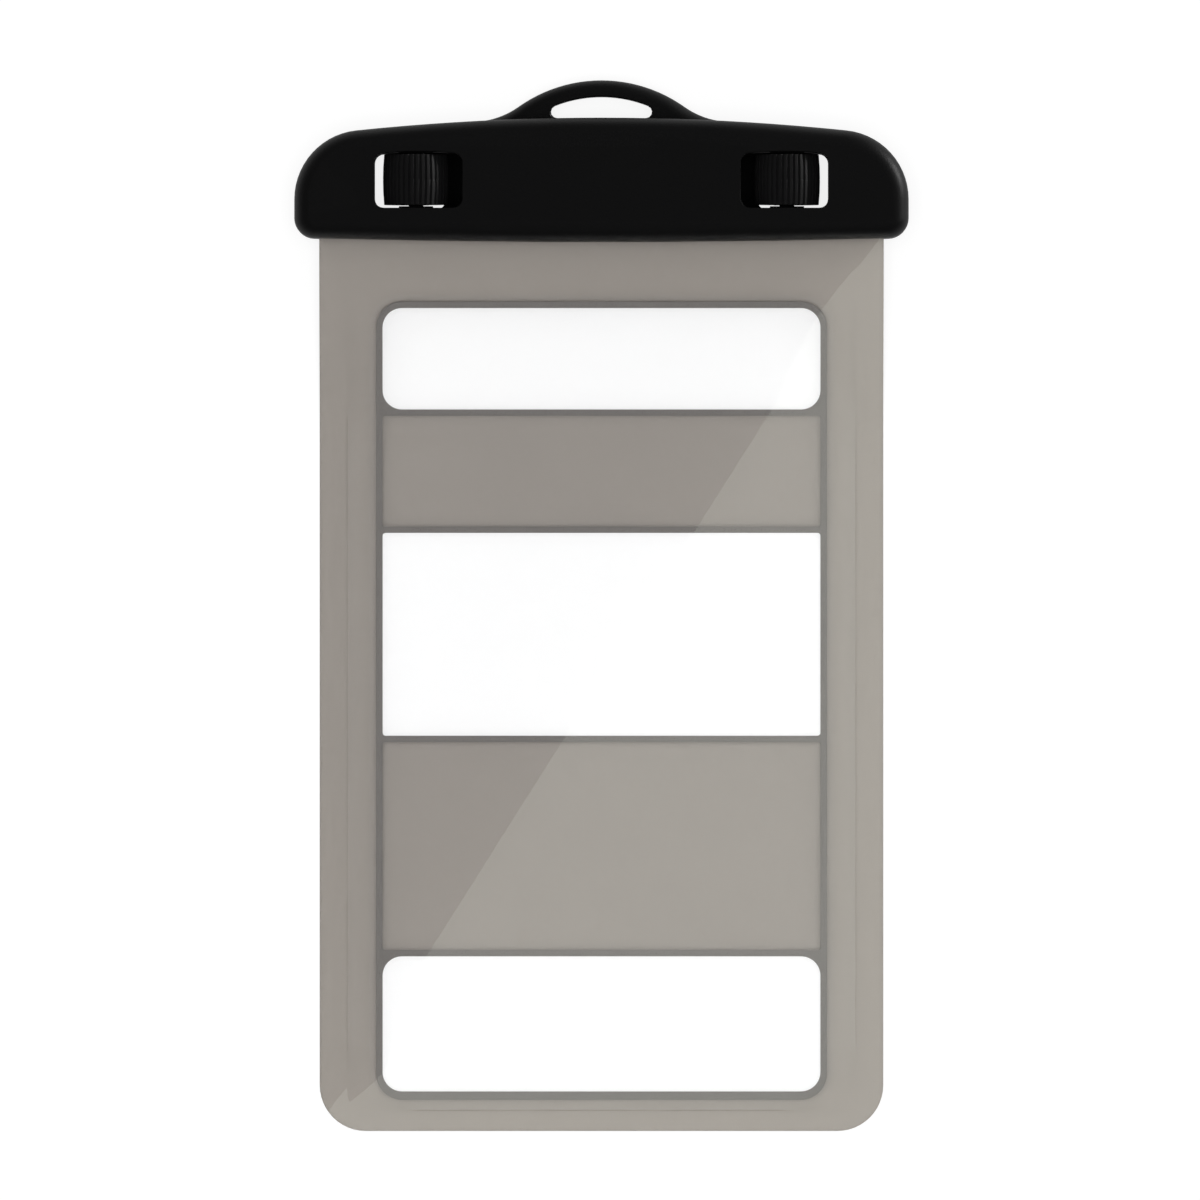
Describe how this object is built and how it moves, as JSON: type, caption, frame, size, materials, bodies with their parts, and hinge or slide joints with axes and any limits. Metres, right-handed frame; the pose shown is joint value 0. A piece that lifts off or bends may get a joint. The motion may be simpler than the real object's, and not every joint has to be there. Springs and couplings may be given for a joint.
{
  "type": "waterproof phone case",
  "caption": "Film pouch for a phone, its mouth closed by a hard clamp whose ribbed twist locks hook the front half to the rear half, with a lanyard loop.",
  "frame": {"origin": "middle of the case's outline, on the surface that it lies on", "axes": "+X across the case to the right as seen from the front, +Y towards the clamp and its hanging loop, +Z out of the clear front"},
  "size_m": [0.1242, 0.2128, 0.0184],
  "materials": {
    "clamp": "satin moulded black",
    "barrel": "satin moulded black, ribbed",
    "seal": "matt silicone",
    "clear_film": "clear glossy film",
    "smoky_film": "smoky grey film",
    "window_film": "clear glossy film",
    "edging": "darker grey film edging"
  },
  "bodies": {
    "pouch": {"rear_clamp_half": "clamp", "rear_seal_strip": "seal", "rear_film": "smoky_film", "window_sheet": "window_film", "window_edging": "edging", "front_film": "clear_film"},
    "front_half": {"front_clamp_half": "clamp", "front_seal_strip": "seal"},
    "left_lock": {"left_lock_barrel": "barrel"},
    "right_lock": {"right_lock_barrel": "barrel"}
  },
  "joints": [
    {"name": "front_release", "type": "slide", "parent": "pouch", "child": "front_half", "axis": [0, 0, 1], "range_m": [0, 0.0035]},
    {"name": "left_lock_turn", "type": "hinge", "parent": "front_half", "child": "left_lock", "pos_m": [-0.0375, 0.08618, 0.0117], "axis": [0, 1, 0], "range_deg": [0, 90]},
    {"name": "right_lock_turn", "type": "hinge", "parent": "front_half", "child": "right_lock", "pos_m": [0.0375, 0.08618, 0.0117], "axis": [0, 1, 0], "range_deg": [-90, 0]}
  ],
  "couplings": [
    {"joint": "left_lock_turn", "follows": "front_release", "rad_per_m": 448.7},
    {"joint": "right_lock_turn", "follows": "front_release", "rad_per_m": -448.7}
  ]
}
